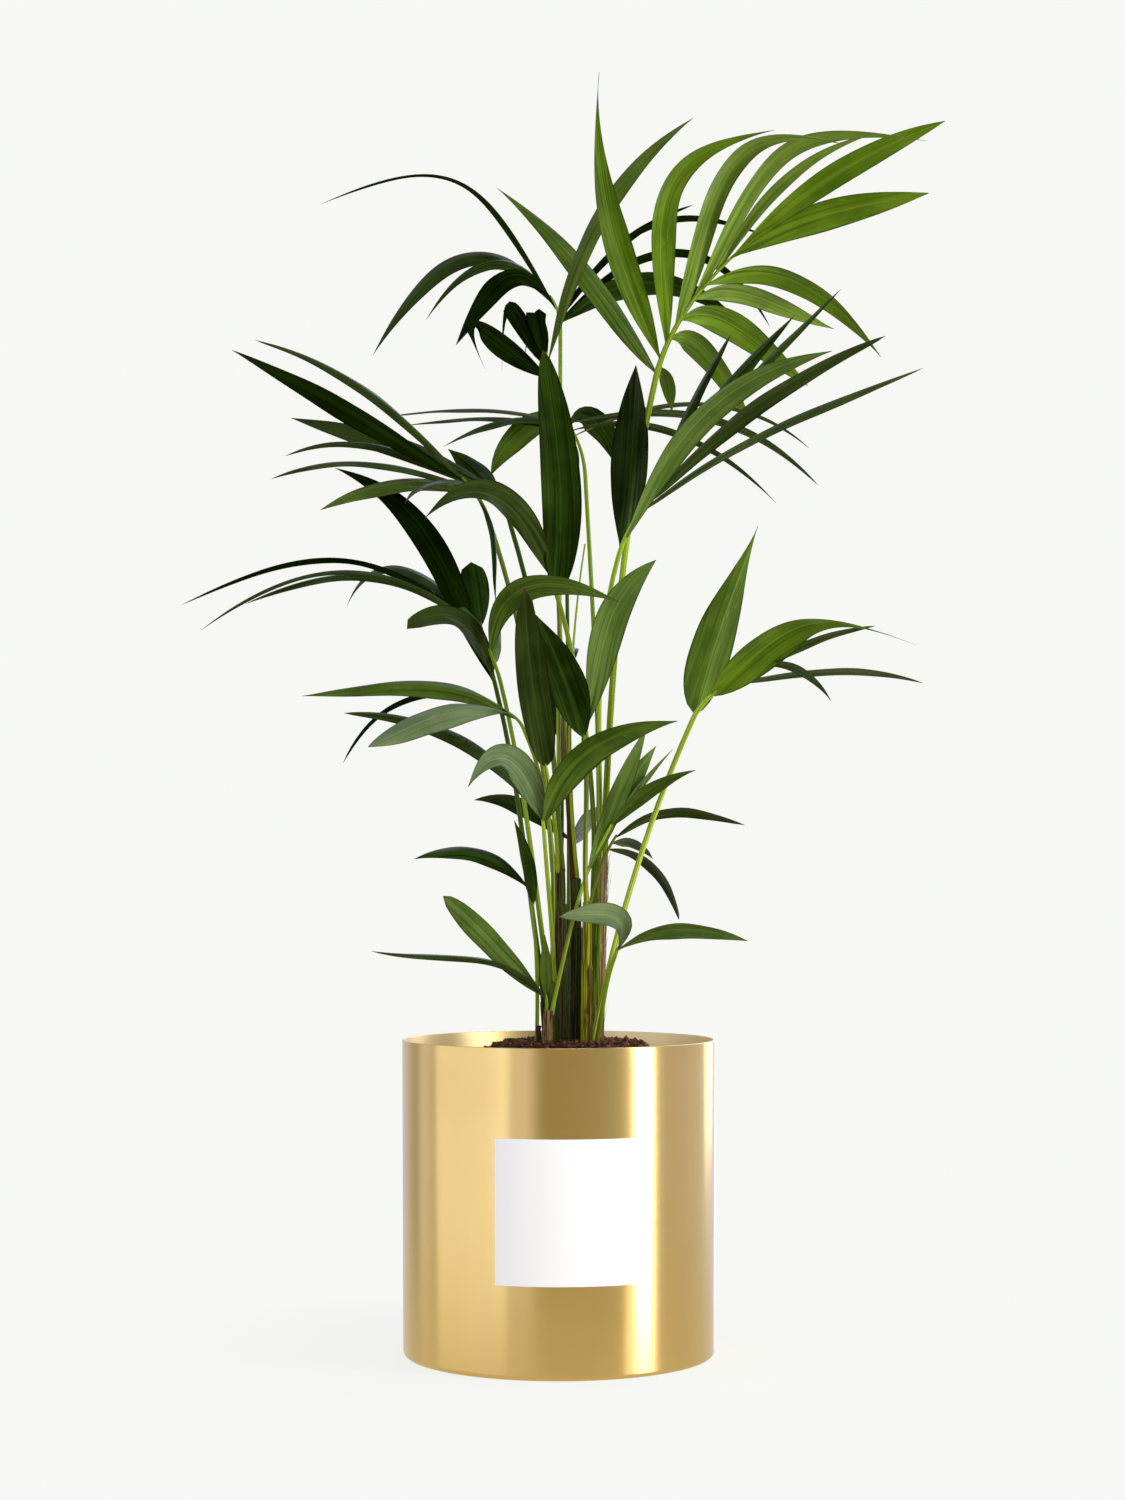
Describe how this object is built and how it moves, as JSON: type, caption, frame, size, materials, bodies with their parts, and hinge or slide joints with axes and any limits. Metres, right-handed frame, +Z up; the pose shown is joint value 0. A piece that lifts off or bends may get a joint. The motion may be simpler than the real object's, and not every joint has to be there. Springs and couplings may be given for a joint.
{
  "type": "potted kentia palm",
  "caption": "Kentia palm, a clump of slender stems with arching feather fronds, in a round brass pot with a bare square paper label.",
  "frame": {"origin": "centre of the pot's flat underside", "axes": "+Z up, -Y towards the front, where the label is, +X to the right"},
  "size_m": [0.7645, 0.545, 1.2387],
  "materials": {
    "pot_brass": "brushed brass, satin, with soft upright reflections",
    "label_paper": "smooth white paper, matt",
    "soil_mix": "loose reddish-brown bark and peat crumbs, matt",
    "stem_sheath": "green leaf sheath with brown strips, satin",
    "stem_fibre": "brown fibrous sheath, rough and matt",
    "petiole": "smooth yellow-green stalk, satin",
    "leaf": "deep green leaflets with fine parallel veins, satin gloss",
    "leaf_bright": "bright young green leaflets with fine parallel veins, satin gloss"
  },
  "bodies": {
    "root": {"pot": "pot_brass", "label": "label_paper", "soil": "soil_mix", "stem_front_left": "stem_sheath", "stem_left": "stem_sheath", "stem_middle": "stem_sheath", "stem_slim": "stem_fibre", "stem_front": "stem_sheath", "stem_right": "stem_fibre", "stem_back": "stem_sheath", "petiole_top_right": "petiole", "frond_top_right": "leaf_bright", "petiole_top_left_back": "petiole", "frond_top_left_back": "leaf", "petiole_top_left_front": "petiole", "frond_top_left_front": "leaf", "petiole_centre_back": "petiole", "frond_centre_back": "leaf", "petiole_centre": "petiole", "frond_centre": "leaf", "petiole_left_high": "petiole", "frond_left_high": "leaf", "petiole_left_mid": "petiole", "frond_left_mid": "leaf", "petiole_left_wide": "petiole", "frond_left_wide": "leaf", "petiole_left_inner": "petiole", "frond_left_inner": "leaf", "petiole_left_low": "petiole", "frond_left_low": "leaf", "petiole_low_front": "petiole", "frond_low_front": "leaf", "petiole_front_upright": "petiole", "frond_front_upright": "leaf", "petiole_front_pair": "petiole", "frond_front_pair": "leaf", "petiole_right_wide": "petiole", "frond_right_wide": "leaf", "petiole_right_high": "petiole", "frond_right_high": "leaf", "petiole_right_small": "petiole", "frond_right_small": "leaf", "petiole_right_drooping": "petiole", "frond_right_drooping": "leaf", "petiole_left_bottom": "petiole", "frond_left_bottom": "leaf", "petiole_back_low": "petiole", "frond_back_low": "leaf", "petiole_bottom_left": "petiole", "frond_bottom_left": "leaf", "petiole_bottom_right": "petiole", "frond_bottom_right": "leaf", "petiole_back_mid": "petiole", "frond_back_mid": "leaf", "petiole_back_high": "petiole", "frond_back_high": "leaf", "spear": "petiole", "stub": "stem_fibre"}
  },
  "joints": []
}
